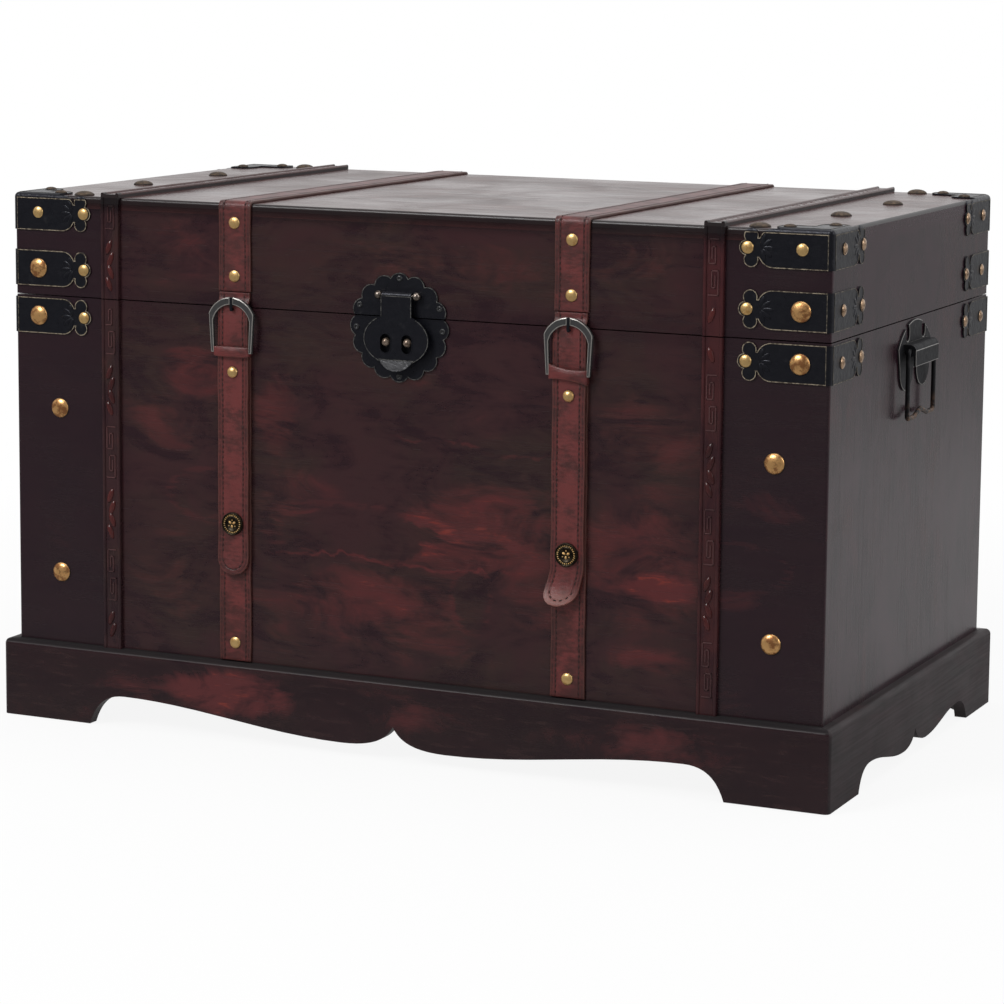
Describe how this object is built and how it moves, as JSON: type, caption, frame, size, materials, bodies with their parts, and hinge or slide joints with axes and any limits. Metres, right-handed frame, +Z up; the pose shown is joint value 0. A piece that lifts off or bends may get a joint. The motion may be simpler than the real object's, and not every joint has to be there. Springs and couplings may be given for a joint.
{
  "type": "keepsake chest",
  "caption": "Flat-topped wooden storage chest on a scroll-cut plinth, with a hinged lid, hasp lock, buckled leather straps, studded corner straps and side bail handles.",
  "frame": {"origin": "on the floor, under the middle of the chest", "axes": "+Z up, +X to the right along the front, the front faces -Y"},
  "size_m": [0.6626, 0.38, 0.3986],
  "materials": {
    "stained_wood": "dark mahogany stain under clear lacquer",
    "plinth_wood": "dark mahogany stain under clear lacquer",
    "inner_wood": "plain stained inside",
    "carved_wood": "dark stain, rubbed red on the carving",
    "black_iron": "satin black, worn at the edges",
    "bright_brass": "polished",
    "aged_brass": "aged, mottled",
    "pale_steel": "worn bright",
    "gunmetal": "dark plated, bright edges",
    "hinge_steel": "plain",
    "leather": "red brown, smooth, dark edges"
  },
  "bodies": {
    "chest": {"back_panel": "stained_wood", "body_batten_left": "carved_wood", "body_batten_right": "carved_wood", "body_corner_straps": "black_iron", "body_hinge_leaves": "hinge_steel", "body_large_nails": "aged_brass", "body_small_nails": "bright_brass", "bottom_board": "inner_wood", "front_panel": "stained_wood", "handle_plate_left": "black_iron", "handle_plate_right": "black_iron", "hinge_pins": "hinge_steel", "left_panel": "stained_wood", "lock_plate_lower": "black_iron", "lock_posts": "pale_steel", "plinth_back": "plinth_wood", "plinth_blocks": "inner_wood", "plinth_front": "plinth_wood", "plinth_left": "plinth_wood", "plinth_right": "plinth_wood", "right_panel": "stained_wood", "snap_studs": "aged_brass", "under_strap_left": "leather", "under_strap_right": "leather"},
    "lid": {"lid_front": "stained_wood", "lid_back": "stained_wood", "lid_left": "stained_wood", "lid_right": "stained_wood", "lid_panel": "stained_wood", "lid_corner_caps": "black_iron", "lid_corner_straps": "black_iron", "lid_small_nails": "bright_brass", "lid_large_nails": "aged_brass", "lid_hinge_leaves": "hinge_steel", "lock_plate_upper": "black_iron", "hasp_pin": "pale_steel", "lid_front_batten_left": "carved_wood", "lid_front_batten_right": "carved_wood", "lid_top_batten_left": "carved_wood", "lid_top_batten_right": "carved_wood", "lid_strap_left": "leather", "lid_strap_right": "leather"},
    "hasp": {"hasp": "black_iron"},
    "strap_left": {"tongue_left": "leather", "buckle_left": "gunmetal", "prong_left": "gunmetal", "keeper_left": "leather", "strap_rivet_left": "bright_brass", "snap_cap_left": "aged_brass"},
    "strap_right": {"tongue_right": "leather", "buckle_right": "gunmetal", "prong_right": "gunmetal", "keeper_right": "leather", "strap_rivet_right": "bright_brass", "snap_cap_right": "aged_brass"},
    "bail_left": {"bail_left": "black_iron"},
    "bail_right": {"bail_right": "black_iron"}
  },
  "joints": [
    {"name": "lid_hinge", "type": "hinge", "parent": "chest", "child": "lid", "pos_m": [0, 0.1842, 0.32], "axis": [-1, 0, 0], "range_deg": [0, 100]},
    {"name": "hasp_hinge", "type": "hinge", "parent": "lid", "child": "hasp", "pos_m": [0, -0.1852, 0.3355], "axis": [-1, 0, 0], "range_deg": [0, 150]},
    {"name": "strap_left_fold", "type": "hinge", "parent": "lid", "child": "strap_left", "pos_m": [-0.133, -0.1835, 0.331], "axis": [-1, 0, 0], "range_deg": [0, 90]},
    {"name": "strap_right_fold", "type": "hinge", "parent": "lid", "child": "strap_right", "pos_m": [0.133, -0.1835, 0.331], "axis": [-1, 0, 0], "range_deg": [0, 90]},
    {"name": "bail_left_swing", "type": "hinge", "parent": "chest", "child": "bail_left", "pos_m": [-0.327, 0, 0.2985], "axis": [0, 1, 0], "range_deg": [0, 170]},
    {"name": "bail_right_swing", "type": "hinge", "parent": "chest", "child": "bail_right", "pos_m": [0.327, 0, 0.2985], "axis": [0, -1, 0], "range_deg": [0, 170]}
  ]
}
